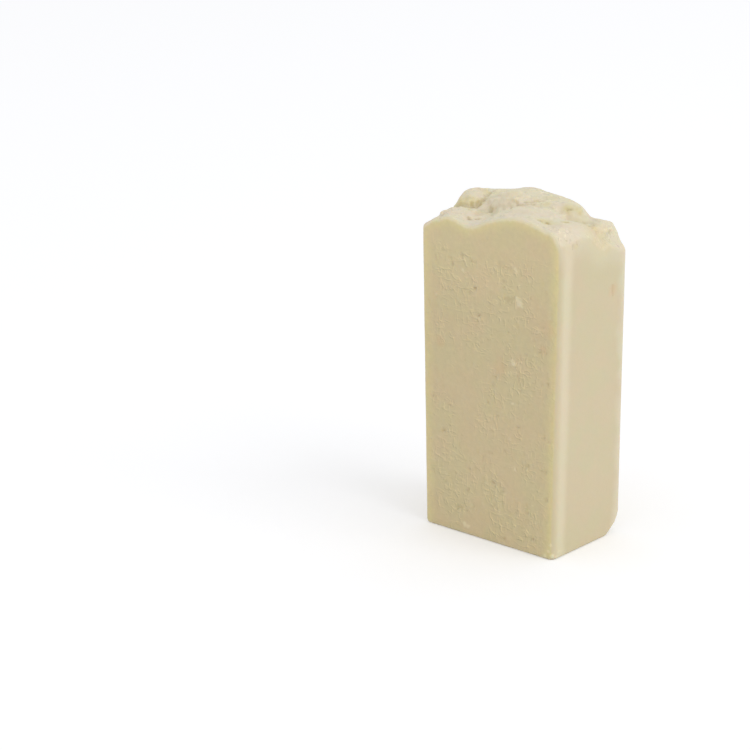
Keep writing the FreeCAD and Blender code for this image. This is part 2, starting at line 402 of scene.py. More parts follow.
def grain_tone(tree, place, on_cut):
    """A fine grain, lighter and darker, strongest on the cuts."""
    speckle = noise(tree, place, 1.2 * MM, 4.0, 0.65)[0]
    grain = ramp(tree, speckle, 0.3, 0.7, -0.04, 0.03, smooth=False)
    return maths(tree, "MULTIPLY_ADD", grain, maths(tree, "MULTIPLY_ADD", on_cut, 0.7, 0.3), 1.0)


def soap_colour(tree, place, on_cut, scratches):
    parts = split(tree, place)
    crust, hollow = attribute(tree, "crust"), attribute(tree, "hollow")
    flat = blend_colours(tree, on_cut, side_colour(tree, place, parts), cut_colour(tree, place, parts))
    patches = ramp(tree, noise(tree, place, 9 * MM, 3.0)[0], 0.36, 0.64)
    flat = blend_colours(tree, 1.0, flat, blend_colours(tree, patches, PINKER, GREENER), "MULTIPLY")
    # Painted light: the cuts grow lighter towards the top, for the shade that falls on their lower part.
    painted_top_light = maths(tree, "MULTIPLY", on_cut, ramp(tree, parts["Z"], 60 * MM, 84 * MM, 0.0, CUT_TOP_PAINTED_LIGHT))
    tone = maths(tree, "ADD", grain_tone(tree, place, on_cut), painted_top_light)
    soap = blend_colours(tree, crust, scaled(tree, flat, tone), CRUST_COLOUR)
    spots = ramp(tree, noise(tree, place, 6 * MM, 2.0)[0], 0.38, 0.62)
    crust_tint = blend_colours(tree, spots, CRUST_PINK, CRUST_YELLOW)
    soap = blend_colours(tree, crust, soap, crust_tint, "MULTIPLY")
    soap = blend_colours(tree, attribute(tree, "blush"), soap, BLUSH, "MULTIPLY")
    # Painted highlight and shadow: the scratches lighten the colour along each stroke and darken it beside
    # it, as light from one side would; the stroke's paleness is partly the soap's own.
    soap = scaled(tree, soap, maths(tree, "MULTIPLY_ADD", scratches, SCRATCH_PAINTED_LIGHT_AND_SHADE, 1.0))
    soap = blend_colours(tree, ramp(tree, hollow, -1.3, -0.3, 0.5, 0.0), soap, FLAKE_COLOUR)
    on_flake = maths(tree, "MULTIPLY", attribute(tree, "flake"), FLAKE_AMOUNT)
    soap = blend_colours(tree, on_flake, soap, FLAKE_COLOUR)
    damp = ramp(tree, noise(tree, place, 1.6 * MM, 2.0)[0], 0.35, 0.65, 0.55, 0.85)
    damp = maths(tree, "MULTIPLY", damp, attribute(tree, "damp"))
    soap = blend_colours(tree, damp, soap, DAMP_COLOUR)
    # Painted shade: hollows, most of all on the crust, and the pits and tears darken towards a brown for the
    # shadow in them.
    most_on_crust = maths(tree, "MULTIPLY_ADD", crust, 0.6, 0.4)
    deep = maths(tree, "MULTIPLY", ramp(tree, hollow, 0.15, 1.1, 0.0, 0.55), most_on_crust)
    deep = maths(tree, "MAXIMUM", deep, attribute(tree, "pit"))
    return blend_colours(tree, deep, soap, HOLLOW_SHADE_COLOUR)


# %% Make the material
def make_soap():
    material = bpy.data.materials.new("handmade_soap")
    material.use_nodes = True
    tree = material.node_tree
    tree.nodes.clear()
    place = add(tree, "ShaderNodeTexCoord").outputs["Object"]
    faces = split(tree, add(tree, "ShaderNodeNewGeometry").outputs["Normal"])
    on_cut = ramp(tree, maths(tree, "ABSOLUTE", faces["Y"]), 0.70, 0.97)
    scratches = maths(tree, "MULTIPLY", fine_scratches(tree, place), where_scratched(tree, place, on_cut))
    grain = noise(tree, place, 0.7 * MM, 4.0, 0.6)[0]
    height = maths(tree, "MULTIPLY_ADD", scratches, 0.8, grain)
    bump = add(tree, "ShaderNodeBump", {"Strength": 0.5, "Distance": 0.14 * MM, "Height": height})
    soap = add(tree, "ShaderNodeBsdfPrincipled", {
        "Base Color": soap_colour(tree, place, on_cut, scratches), "Roughness": 0.52,
        "Subsurface Weight": 0.35, "Subsurface Radius": (1.0, 0.72, 0.38), "Subsurface Scale": SKIN_DEPTH,
        "Normal": bump.outputs[0],
    }, subsurface_method="RANDOM_WALK")
    add(tree, "ShaderNodeOutputMaterial", {"Surface": soap.outputs[0]})
    return material


SOAP = make_soap()

# %% [markdown]
# ## The bar's skin
#
# The CAD solid is right in size and outline but far too clean. Its mesh is loose triangles, so the copy
# is merged first. A voxel remesh then wraps it in small, even faces, which is what sculpting needs: any
# part of the skin can be pushed and pulled, and forms that cross one another melt into a single closed
# surface, as soft soap does.

# %% Copy the solid and define the remesh
VOXEL = 0.3 * MM
MOST_TRIANGLES = 190000


def copy_merged(source, name):
    """A copy of a CAD node's mesh whose triangles share their corners."""
    mesh = source.data.copy()
    mesh.name = name
    shape = bmesh.new()
    shape.from_mesh(mesh)
    bmesh.ops.remove_doubles(shape, verts=shape.verts, dist=0.001 * MM)
    shape.to_mesh(mesh)
    shape.free()
    mesh.materials.clear()
    copy = bpy.data.objects.new(name, mesh)
    bpy.context.scene.collection.objects.link(copy)
    return copy


def bake_modifiers(piece):
    """Turns what the modifiers make into the piece's own plain mesh."""
    evaluated = piece.evaluated_get(bpy.context.evaluated_depsgraph_get())
    result = bpy.data.meshes.new_from_object(evaluated)
    result.name = piece.data.name
    piece.modifiers.clear()
    piece.data = result


def remesh(piece, voxel):
    """Wraps the piece in one closed skin of small, even faces."""
    wrap = piece.modifiers.new("skin", "REMESH")
    wrap.mode = "VOXEL"
    wrap.voxel_size = voxel
    bake_modifiers(piece)
    piece.data.materials.clear()
    piece.data.materials.append(SOAP)
    piece.data.polygons.foreach_set("material_index", [0] * len(piece.data.polygons))


# %% Reach the corners as one array
def places(piece):
    """The corners of a piece as an array, one row each."""
    flat = np.empty(len(piece.data.vertices) * 3, np.float32)
    piece.data.vertices.foreach_get("co", flat)
    return flat.reshape(-1, 3).astype(float)


def put_places(piece, rows):
    piece.data.vertices.foreach_set("co", np.ascontiguousarray(rows, np.float32).ravel())
    piece.data.update()


def smoothed(mesh, values, rounds):
    """Values at the corners, each one averaged with those of the corners joined to it, round after round."""
    edges = np.empty(len(mesh.edges) * 2, np.int32)
    mesh.edges.foreach_get("vertices", edges)
    here, there = edges.reshape(-1, 2).T
    here, there = np.concatenate([here, there]), np.concatenate([there, here])
    columns = np.array(values, float).reshape(len(mesh.vertices), -1)
    count = 1 + np.bincount(here, minlength=len(columns))
    for _ in range(rounds):
        sums = [np.bincount(here, column[there], len(columns)) for column in columns.T]
        columns = (columns + np.stack(sums, 1)) / count[:, None]
    return columns.reshape(np.shape(values))


def normals(mesh):
    flat = np.empty(len(mesh.vertices) * 3, np.float32)
    mesh.vertices.foreach_get("normal", flat)
    return flat.reshape(-1, 3).astype(float)


def soft_step(values, low, high):
    """0 below the first value, 1 above the second, and a smooth climb between."""
    part = np.clip((values - low) / (high - low), 0, 1)
    return part * part * (3 - 2 * part)


# %% Wrap the solid
bar = copy_merged(BAR_NODE, "soap_bar_skin")
remesh(bar, VOXEL)
print("first skin:", len(bar.data.vertices), "corners")

# %% [markdown]
# ## Dabs of soap on the crust
#
# On the real bar the crust is a crowd of small dabs and curls that stiffened where the spoon left them.
# They repeat but no two are alike, which is work for Geometry Nodes: scatter points over the top, put a
# small flat dab on each with its own turn, tip and size, and let the remesh melt them together. The
# points are kept to the part of the skin that faces up, near the top, with a little room at the edges.
# Three small helpers open, end and run such a tree, and the later trees use them too.

# %% Define the helpers for trees that make geometry
def new_tree(name, inputs):
    """A tree that takes a geometry and named numbers, and gives a geometry back."""
    tree = bpy.data.node_groups.new(name, "GeometryNodeTree")
    tree.interface.new_socket("Geometry", in_out="INPUT", socket_type="NodeSocketGeometry")
    for label, value in inputs.items():
        kind = "NodeSocketInt" if isinstance(value, int) else "NodeSocketFloat"
        tree.interface.new_socket(label, in_out="INPUT", socket_type=kind).default_value = value
    tree.interface.new_socket("Geometry", in_out="OUTPUT", socket_type="NodeSocketGeometry")
    return tree, add(tree, "NodeGroupInput").outputs, add(tree, "NodeGroupOutput").inputs


def finish_tree(tree, made, result):
    """Ends a tree: everything is real geometry, made of soap."""
    real = add(tree, "GeometryNodeRealizeInstances", {0: made})
    soaped = add(tree, "GeometryNodeSetMaterial", {"Geometry": real.outputs[0], "Material": SOAP})
    tree.links.new(soaped.outputs[0], result["Geometry"])


def run_tree(piece, tree, inputs):
    """Puts the tree on the piece with its named numbers, and bakes what it makes."""
    modifier = piece.modifiers.new(tree.name, "NODES")
    modifier.node_group = tree
    for socket in tree.interface.items_tree:
        if socket.in_out == "INPUT" and socket.name in inputs:
            modifier[socket.identifier] = inputs[socket.name]
    bake_modifiers(piece)


def vector_between(tree, low, high, seed):
    wires = {0: low, 1: high, "Seed": seed}
    return add(tree, "FunctionNodeRandomValue", wires, data_type="FLOAT_VECTOR").outputs[0]


def number_between(tree, low, high, seed):
    wires = {"Min": low, "Max": high, "Seed": seed}
    return add(tree, "FunctionNodeRandomValue", wires, data_type="FLOAT").outputs[1]


def joined(tree, *geometries):
    both = add(tree, "GeometryNodeJoinGeometry")
    for geometry in geometries:
        tree.links.new(geometry, both.inputs[0])
    return both.outputs[0]


# %% Grow the dabs
DABS = {
    "Dabs per square cm": 12.0,
    "Smallest": 0.8 * MM,
    "Largest": 1.7 * MM,
    "Tip in degrees": 18.0,
    "Sink": 0.45 * MM,
    "Lowest height": 82 * MM,
    "Room at the edge": 3.0 * MM,
    "Seed": 11,
}
DAB_STRETCH = (1.4, 0.95, 0.45)
PER_SQUARE_CM = 1e4


def dab_tree():
    tree, given, result = new_tree("dabs_on_the_crust", DABS)
    parts = split(tree, add(tree, "GeometryNodeInputPosition").outputs[0])
    faces_up = split(tree, add(tree, "GeometryNodeInputNormal").outputs[0])["Z"]
    room = maths(tree, "MINIMUM", room_to_side(tree, parts), room_to_cut(tree, parts))
    on_crust = maths(tree, "GREATER_THAN", parts["Z"], given["Lowest height"])
    on_crust = maths(tree, "MULTIPLY", on_crust, maths(tree, "GREATER_THAN", faces_up, 0.25))
    inside = maths(tree, "GREATER_THAN", room, given["Room at the edge"])
    on_crust = maths(tree, "MULTIPLY", on_crust, inside)
    density = maths(tree, "MULTIPLY", given["Dabs per square cm"], PER_SQUARE_CM)
    scatter = add(tree, "GeometryNodeDistributePointsOnFaces", {
        "Mesh": given["Geometry"], "Selection": on_crust, "Density": density, "Seed": given["Seed"],
    })
    dab = add(tree, "GeometryNodeMeshIcoSphere", {"Radius": 1.0, "Subdivisions": 2})
    flat_dab = add(tree, "GeometryNodeTransform", {"Geometry": dab.outputs["Mesh"], "Scale": DAB_STRETCH})
    tip = maths(tree, "RADIANS", given["Tip in degrees"])
    most = add(tree, "ShaderNodeCombineXYZ", {"X": tip, "Y": tip, "Z": math.pi}).outputs[0]
    dabs = add(tree, "GeometryNodeInstanceOnPoints", {
        "Points": scatter.outputs["Points"], "Instance": flat_dab.outputs[0],
        "Rotation": vector_between(tree, scaled(tree, most, -1.0), most, given["Seed"]),
        "Scale": number_between(tree, given["Smallest"], given["Largest"], given["Seed"]),
    })
    sunk = add(tree, "ShaderNodeCombineXYZ", {"Z": maths(tree, "MULTIPLY", given["Sink"], -1.0)}).outputs[0]
    lowered = add(tree, "GeometryNodeTranslateInstances", {
        "Instances": dabs.outputs[0], "Translation": sunk, "Local Space": False,
    })
    finish_tree(tree, joined(tree, given["Geometry"], lowered.outputs[0]), result)
    return tree


run_tree(bar, dab_tree(), DABS)
remesh(bar, VOXEL)
print("with dabs:", len(bar.data.vertices), "corners")

# %% [markdown]
# ## The wire's cut
#
# Dabs near the edge hang past the block. On the real bar the wire cut through them, so whatever is
# outside the four upright planes is brought back onto them. The planes follow from the CAD box: the mould
# sides splay, and the back cut leans in. Later, handling rubs the crust's edges soft again. A cut face is
# also not quite flat. It dries faster than the rest and sinks a little in the middle, and that leaves
# room for the flakes that stand on it.

# %% Trim the dabs to the block
DISH_DEPTH = 0.35 * MM
DISH_REACH = 5.0 * MM
CRUST_RUB = 0.15
RUB_ROUNDS = 5


def half_width_at(z):
    return BASE_HALF_WIDTH + (TOP_HALF_WIDTH - BASE_HALF_WIDTH) * z / SIDE_HEIGHT


def back_at(z):
    return BACK - BACK_LEAN * z / SIDE_HEIGHT


def trim(rows):
    """Brings corners that are outside the block back onto its faces."""
    z = np.clip(rows[:, 2], 0, HIGH[2])
    x = np.clip(rows[:, 0], -half_width_at(z), half_width_at(z))
    y = np.clip(rows[:, 1], FRONT, back_at(z))
    return np.stack([x, y, z], 1)


def dish_cuts(rows):
    """Sinks the middle of both cut faces a little."""
    inside = np.minimum(half_width_at(rows[:, 2]) - abs(rows[:, 0]), rows[:, 2])
    inside = np.minimum(inside, SIDE_HEIGHT - rows[:, 2])
    sink = DISH_DEPTH * soft_step(inside, 0.5 * MM, DISH_REACH)
    rows[:, 1] += np.where(rows[:, 1] < FRONT + 0.05 * MM, sink, 0)
    rows[:, 1] -= np.where(rows[:, 1] > back_at(rows[:, 2]) - 0.05 * MM, sink, 0)
    return rows


def rub_edges(mesh, rows):
    """Softens the crust a little, and its edges most, as handling does."""
    side = half_width_at(rows[:, 2]) - abs(rows[:, 0])
    cut = np.minimum(rows[:, 1] - FRONT, back_at(rows[:, 2]) - rows[:, 1])
    edge = 1 - soft_step(np.minimum(side, cut), 0.6 * MM, 2.6 * MM)
    on_top = soft_step(rows[:, 2], CRUST_STARTS, CRUST_STARTS + 5 * MM)
    amount = on_top * (CRUST_RUB + (1 - CRUST_RUB) * edge)
    return rows + amount[:, None] * (smoothed(mesh, rows, RUB_ROUNDS) - rows)


put_places(bar, dish_cuts(trim(places(bar))))
print("trimmed:", len(bar.data.vertices), "corners")

# %% [markdown]
# ## Flakes on the cuts
#
# The wire drags small flakes out of the soap and lays them down again beside the pits they left. They
# lie in clusters, away from the edges. This is the same recipe as for the dabs, with a tree of its own:
# points on the faces that look forwards or backwards, thinned by a noise so that they gather in clusters,
# and a thin flake on each.

# %% Scatter the flakes
FLAKES = {
    "Flakes per square cm": 10.0,
    "Shortest": 0.30 * MM,
    "Longest": 1.05 * MM,
    "Cluster size": 11.0 * MM,
    "Room at the edge": 4.0 * MM,
    "Top": 80 * MM,
    "Seed": 5,
}
FLAKE_STRETCH = (0.55, 0.28, 1.2)


def flake_tree():
    tree, given, result = new_tree("flakes_on_the_cuts", FLAKES)
    position = add(tree, "GeometryNodeInputPosition").outputs[0]
    parts = split(tree, position)
    faces = split(tree, add(tree, "GeometryNodeInputNormal").outputs[0])
    on_cut = maths(tree, "GREATER_THAN", maths(tree, "ABSOLUTE", faces["Y"]), 0.98)
    below_top = maths(tree, "SUBTRACT", given["Top"], parts["Z"])
    room = maths(tree, "MINIMUM", room_to_side(tree, parts), below_top)
    on_cut = maths(tree, "MULTIPLY", on_cut, maths(tree, "GREATER_THAN", room, given["Room at the edge"]))
    cluster = ramp(tree, noise(tree, position, given["Cluster size"], 2.0)[0], 0.42, 0.62)
    density = maths(tree, "MULTIPLY", given["Flakes per square cm"], PER_SQUARE_CM)
    density = maths(tree, "MULTIPLY", density, cluster)
    scatter = add(tree, "GeometryNodeDistributePointsOnFaces", {
        "Mesh": given["Geometry"], "Selection": on_cut, "Density": density, "Seed": given["Seed"],
    })
    flake = add(tree, "GeometryNodeMeshIcoSphere", {"Radius": 1.0, "Subdivisions": 2})
    thin = add(tree, "GeometryNodeTransform", {"Geometry": flake.outputs["Mesh"], "Scale": FLAKE_STRETCH})
    flakes = add(tree, "GeometryNodeInstanceOnPoints", {
        "Points": scatter.outputs["Points"], "Instance": thin.outputs[0],
        "Rotation": vector_between(tree, (-0.2, -1.2, -0.3), (0.2, 1.2, 0.3), given["Seed"]),
        "Scale": number_between(tree, given["Shortest"], given["Longest"], given["Seed"]),
    })
    finish_tree(tree, joined(tree, given["Geometry"], flakes.outputs[0]), result)
    return tree


run_tree(bar, flake_tree(), FLAKES)
remesh(bar, VOXEL)
print("with flakes:", len(bar.data.vertices), "corners")

# %% [markdown]
# ## The marks to know this bar by
#
# Some marks on the flat faces are large enough to name: one broad flake on the front cut with the torn
# hollow it came from, a few smaller ones below it, a nick and three pits on the mould side, and the line
# along its right shoulder. Each lies along a short line in space. It tapers towards the line's second
# end, and a noise frays its outline, because soap tears and doesn't punch. The same table serves twice:
# here it pushes the skin out or in, and at the end it colours the flakes pale and gives the tears painted
# shade, a darker colour for the shadow in them. A few crumbs stick to the foot at the right. They are
# small balls that the remesh melts onto the bar.

# %% Name the marks on the flat faces
# Each mark: the two ends of its line, its reach to each side, and how far it stands out, in millimetres.
FACE_MARKS = {
    "broad_flake": ((10.5, -15.3, 70.2), (9.4, -15.3, 71.6), 1.35, 0.32),
    "its_tail": ((10.5, -15.3, 70.3), (11.3, -15.3, 69.4), 0.80, 0.24),
    "its_hollow": ((5.4, -15.3, 70.6), (8.0, -15.3, 71.2), 1.50, -0.45),
    "upper_curl": ((8.8, -15.3, 79.6), (9.5, -15.3, 78.4), 0.75, 0.20),
    "upper_hollow": ((3.6, -15.3, 80.0), (7.4, -15.3, 79.4), 1.10, -0.35),
    "middle_flake": ((8.6, -15.3, 53.3), (7.8, -15.3, 53.9), 0.95, 0.26),
    "left_curl": ((-9.2, -15.3, 76.2), (-8.8, -15.3, 75.2), 0.60, 0.18),
    "long_drag": ((-1.6, -15.3, 62.4), (-2.2, -15.3, 59.2), 0.45, 0.14),
    "low_flake": ((8.2, -15.3, 41.8), (7.6, -15.3, 41.3), 0.70, 0.22),
    "lower_hollow": ((5.8, -15.3, 27.4), (8.2, -15.3, 25.2), 0.90, -0.35),
    "lower_flake": ((9.3, -15.3, 23.4), (9.6, -15.3, 22.6), 0.65, 0.24),
    "left_nick": ((-22.8, -15.3, 44.2), (-22.8, -15.3, 42.4), 0.90, -0.50),
    "foot_flake": ((-8.2, -15.3, 2.9), (-6.6, -15.3, 2.5), 0.90, 0.25),
    "side_nick": ((23.9, 8.0, 72.4), (23.9, 8.1, 69.8), 0.80, -0.25),
    "side_pit_left": ((23.0, -11.9, 89.7), (23.1, -11.6, 89.2), 0.60, -0.55),
    "side_pit_low": ((24.1, -9.9, 87.6), (24.1, -10.0, 86.6), 0.60, -0.55),
    "side_pit_right": ((24.1, -8.4, 88.3), (24.1, -8.2, 87.5), 0.55, -0.55),
    "shoulder_line": ((24.1, -0.5, 87.0), (21.8, 7.0, 85.2), 0.45, -0.30),
}

# %% Raise the named flakes and press the scars
# The length of the fraying noise and how much it moves an outline, both as shares of the mark's reach,
# and how much narrower a mark is at its second end.
RAG_LENGTH = 0.85
FLAKE_RAG = 0.45
HOLLOW_RAG = 0.75
TAPER = 0.35


def from_line(rows, start, end):
    """How far each corner is from a line, and how far along it. Without heights it is seen from above."""
    first, last = np.array(start) * MM, np.array(end) * MM
    run = last - first
    offset = rows[:, :len(first)] - first
    along = np.clip(offset @ run / (run @ run), 0, 1)
    return np.linalg.norm(offset - along[:, None] * run, axis=1), along


def torn_gap(rows, start, end, reach, rag):
    """How far each corner is from a line, in reaches that taper, with a noise that tears the outline."""
    gap, along = from_line(rows, start, end)
    gap /= reach * MM * (1 - TAPER * along)
    flat = rows * (1, 1, len(start) == 3)
    for i in np.flatnonzero(gap < 2):
        gap[i] += rag * noise_at(Vector(flat[i]) / (RAG_LENGTH * reach * MM))
    return gap


def ragged(rows, start, end, reach):
    """1 along a line and 0 beyond the reach, with a torn outline between."""
    return 1 - soft_step(torn_gap(rows, start, end, reach, FLAKE_RAG), 0.45, 0.95)


def mark_faces(piece):
    rows = places(piece)
    rise = np.zeros(len(rows))
    for start, end, reach, lift in FACE_MARKS.values():
        near = ragged(rows, start, end, reach)
        rise = np.where(abs(near * lift * MM) > abs(rise), near * lift * MM, rise)
    put_places(piece, rows + rise[:, None] * normals(piece.data))
    print("marked corners:", int((rise != 0).sum()))


mark_faces(bar)

# %% Set crumbs on the foot
# Each crumb: its middle and its radius, in millimetres.
CRUMBS = (
    ((22.2, -14.7, 1.3), 0.55),
    ((21.2, -15.0, 2.6), 0.40),
    ((22.5, -13.6, 0.8), 0.45),
    ((20.2, -15.1, 0.9), 0.45),
    ((22.6, -12.4, 1.9), 0.35),
    ((21.8, -14.9, 4.4), 0.35),
)


def set_crumbs(piece):
    shape = bmesh.new()
    shape.from_mesh(piece.data)
    for middle, radius in CRUMBS:
        place = Matrix.Translation(Vector(middle) * MM)
        bmesh.ops.create_icosphere(shape, subdivisions=2, radius=radius * MM, matrix=place)
    shape.to_mesh(piece.data)
    shape.free()


set_crumbs(bar)
remesh(bar, VOXEL)

# %% [markdown]
# ## Folds, ledges and grain
#
# Between the dabs the crust is folded and torn. Noise that is folded at its middle, by taking how far it
# is from a half, gives round swellings with sharp creases between them, which is how stiff paste looks.
# Pushing the skin sideways by a second noise makes the swellings lean and overhang, and a wave up the
# slopes leaves the thin ledges of one spoon stroke over another. All of it fades out at the cuts and at
# the mould sides, so those faces stay flat and only their upper edge becomes uneven. The knocked-off
# corner at the back of the foot is rough in the same way.

# %% Fold the crust
FOLDS = {
    "Fold size": 7.0 * MM,
    "Fold height": 0.50 * MM,
    "Lean": 0.6 * MM,
    "Lean size": 7.0 * MM,
    "Grain size": 2.0 * MM,
    "Grain height": 0.22 * MM,
    "Ledge spacing": 1.4 * MM,
    "Ledge height": 0.10 * MM,
    "Crust starts": CRUST_STARTS,
    "Crust is full": 87 * MM,
    "Edge fade": 1.8 * MM,
    "Left at the edges": 0.20,
    "Chip roughness": 0.60 * MM,
}


def swellings(tree, position, length, detail):
    """Round swellings with sharp creases between them, from 0 in a crease to about 1 on top."""
    wave = noise(tree, position, length, detail)[0]
    away = maths(tree, "ABSOLUTE", maths(tree, "SUBTRACT", wave, 0.5))
    return maths(tree, "MULTIPLY", away, 5.0, clamp=True)


def ledges(tree, position, spacing):
    """A wave up the slopes, from -1 to 1, that comes and goes along them."""
    height = split(tree, position)["Z"]
    wave = maths(tree, "SINE", maths(tree, "DIVIDE", maths(tree, "MULTIPLY", height, math.tau), spacing))
    here = ramp(tree, noise(tree, position, 9 * MM, 1.0)[0], 0.45, 0.6)
    return maths(tree, "MULTIPLY", wave, here)


def fold_tree():
    tree, given, result = new_tree("folds_of_the_crust", FOLDS)
    position = add(tree, "GeometryNodeInputPosition").outputs[0]
    parts = split(tree, position)
    side, cut = room_to_side(tree, parts), room_to_cut(tree, parts)
    # The folds fade by direction: near a cut nothing moves through the cut, but it may still move along it.
    rise = ramp(tree, parts["Z"], given["Crust starts"], given["Crust is full"])
    inner = ramp(tree, maths(tree, "MINIMUM", side, cut), 0.0, 3 * MM, given["Left at the edges"], 1.0)
    keep = add(tree, "ShaderNodeCombineXYZ", {
        "X": maths(tree, "MULTIPLY", rise, ramp(tree, side, 0.1 * MM, given["Edge fade"])),
        "Y": maths(tree, "MULTIPLY", rise, ramp(tree, cut, 0.1 * MM, given["Edge fade"])),
        "Z": maths(tree, "MULTIPLY", rise, inner),
    }).outputs[0]

    # A noise's colour is three noises in one, which makes a push in any direction.
    lean_noise = noise(tree, position, given["Lean size"], 2.0)["Color"]
    centred = vector_maths(tree, "SUBTRACT", lean_noise, (0.5, 0.5, 0.5))
    lean = scaled(tree, centred, maths(tree, "MULTIPLY", given["Lean"], 3.0))
    warped = vector_maths(tree, "ADD", position, lean)

    folds = maths(tree, "SUBTRACT", swellings(tree, warped, given["Fold size"], 3.0), 0.55)
    grain = maths(tree, "SUBTRACT", swellings(tree, warped, given["Grain size"], 3.0), 0.5)
    lift = maths(tree, "MULTIPLY", folds, given["Fold height"])
    lift = maths(tree, "MULTIPLY_ADD", grain, given["Grain height"], lift)
    ledge = ledges(tree, warped, given["Ledge spacing"])
    lift = maths(tree, "MULTIPLY_ADD", ledge, given["Ledge height"], lift)
    normal = add(tree, "GeometryNodeInputNormal").outputs[0]
    move = vector_maths(tree, "ADD", scaled(tree, normal, lift), lean)
    kept = vector_maths(tree, "MULTIPLY", move, keep)

    # The broken corner is the only place near the foot that lies well inside all four faces.
    in_chip = ramp(tree, maths(tree, "MINIMUM", side, cut), 0.7 * MM, 1.6 * MM)
    in_chip = maths(tree, "MULTIPLY", in_chip, ramp(tree, parts["Z"], 9 * MM, 12 * MM, 1.0, 0.0))
    in_chip = maths(tree, "MULTIPLY", in_chip, ramp(tree, parts["Z"], 0.2 * MM, 1.0 * MM))
    crumbly = maths(tree, "SUBTRACT", swellings(tree, position, 2.6 * MM, 4.0), 0.6)
    rough = maths(tree, "MULTIPLY", maths(tree, "MULTIPLY", crumbly, given["Chip roughness"]), in_chip)
    offset = vector_maths(tree, "ADD", kept, scaled(tree, normal, rough))
    moved = add(tree, "GeometryNodeSetPosition", {"Geometry": given["Geometry"], "Offset": offset})
    finish_tree(tree, moved.outputs[0], result)
    return tree


run_tree(bar, fold_tree(), FOLDS)

# %% [markdown]
# ## Settling
#
# A noise doesn't know this bar. Once the folds are in, a few places stand a little too high or too low,
# as seen beside the photograph, and the crust's right shoulder is rougher than the real one. A soft round
# push at each named place puts that right, the shoulder is averaged calm, and handling rubs the edges
# round. It is done on the corners as one array, because such a push needs no new faces.

# %% Settle the crust
# Each place: its middle and its reach, and how far the crust rises there, in millimetres.
SETTLED = {
    "left_shelf": ((-23.2, -8.6, 88.5), 4.5, -1.0),
    "left_lump": ((-22.4, 3.4, 91.5), 6.0, 0.8),
    "crown": ((-9.0, 12.0, 93.0), 9.0, 0.8),
    "crown_right": ((3.0, 12.5, 92.0), 5.0, -0.4),
    "right_crest": ((10.0, 11.0, 91.5), 5.0, 0.5),
    "behind_the_lump": ((-15.0, 9.0, 92.5), 6.0, 1.1),
    "shoulder_end": ((22.5, -0.5, 91.0), 4.5, -0.6),
    "right_shelf": ((22.0, 4.0, 86.5), 5.0, 0.9),
}
SOFT_SHOULDER = ((20.5, -2.5, 91.0), (24.0, 1.5, 85.0))
SOFT_REACH = 6.0 * MM
SOFT_ROUNDS = 120


def settle(mesh, rows):
    """Raises or lowers a few places, and calms the right shoulder."""
    for middle, reach, rise in SETTLED.values():
        gap = np.linalg.norm(rows - np.array(middle) * MM, axis=1)
        rows[:, 2] += rise * MM * (1 - soft_step(gap, 0, reach * MM))
    calm = 1 - soft_step(from_line(rows, *SOFT_SHOULDER)[0], 0.4 * SOFT_REACH, SOFT_REACH)
    return rows + calm[:, None] * (smoothed(mesh, rows, SOFT_ROUNDS) - rows)


put_places(bar, rub_edges(bar.data, trim(settle(bar.data, places(bar)))))
print("settled, highest point in mm:", round(places(bar)[:, 2].max() / MM, 2))

# %% [markdown]
# ## Hollows where the spoon tore out
#
# A few hollows are large enough to know one by one: the crease round the lump at the left, the pits along
# the front of the crust, and the fine grooves along its crest. Each is pressed into the skin along a short
# line, with the same frayed outline as the tears on the flat faces. A short table is clearer here than
# more noise, since these are the marks by which one would know this very bar.

# %% Name the hollows
# Each hollow: the two ends of its line, across and deep, its reach to each side, and its depth, in mm.
HOLLOWS = (
    ((-24.1, -2.2), (-19.3, -1.5), 1.1, 0.6),
    ((-19.3, -1.5), (-17.8, 0.9), 1.0, 0.9),
    ((-17.8, 0.9), (-17.4, 3.9), 0.9, 0.9),
    ((-17.4, 3.9), (-18.3, 10.0), 0.9, 0.6),
    ((-15.2, -5.2), (-14.2, -5.8), 0.8, 1.0),
    ((-13.6, -1.6), (-11.4, -5.8), 1.7, 0.45),
    ((-11.4, -10.0), (-10.4, -10.2), 0.8, 0.9),
    ((-9.9, -8.3), (-8.9, -7.7), 0.7, 0.9),
    ((-12.3, 0.2), (-11.2, -0.3), 0.8, 0.5),
    ((-6.4, 1.0), (-5.2, 0.6), 0.6, 0.45),
    ((-4.4, 2.0), (0.4, 3.8), 0.6, 0.6),
    ((-3.2, 3.8), (0.8, 5.2), 0.5, 0.5),
    ((12.8, -10.0), (13.3, -9.9), 0.7, 1.0),
    ((14.3, -8.8), (14.6, -8.7), 0.7, 1.1),
    ((15.5, -9.4), (15.8, -9.3), 0.6, 1.0),
    ((16.8, -5.2), (17.5, -4.0), 1.0, 1.1),
    ((9.3, 6.7), (10.2, 7.3), 0.7, 0.7),
    ((17.1, 6.5), (17.6, 7.1), 0.8, 1.2),
    ((12.8, 12.0), (18.0, 9.4), 0.6, 0.3),
    ((-1.3, 6.2), (1.0, 6.8), 0.8, 1.0),
)


# %% Press the hollows
def hollow_depth(rows, inner=0.0, outer=1.0):
    """How deep each corner lies in the hollows, whose walls run from one share of the reach to another."""
    depth = np.zeros(len(rows))
    for start, end, reach, deep in HOLLOWS:
        near = 1 - soft_step(torn_gap(rows, start, end, reach, HOLLOW_RAG), inner, outer)
        depth = np.maximum(depth, deep * MM * near)
    return np.where(rows[:, 2] > CRUST_STARTS, depth, 0)


def press_hollows(piece):
    rows = places(piece)
    out = normals(piece.data)
    depth = np.where(out[:, 2] > 0.1, hollow_depth(rows), 0)
    put_places(piece, rows - depth[:, None] * (out + (0, 0, 1)) / 2)
    print("pressed corners:", int((depth > 0.1 * MM).sum()))


press_hollows(bar)

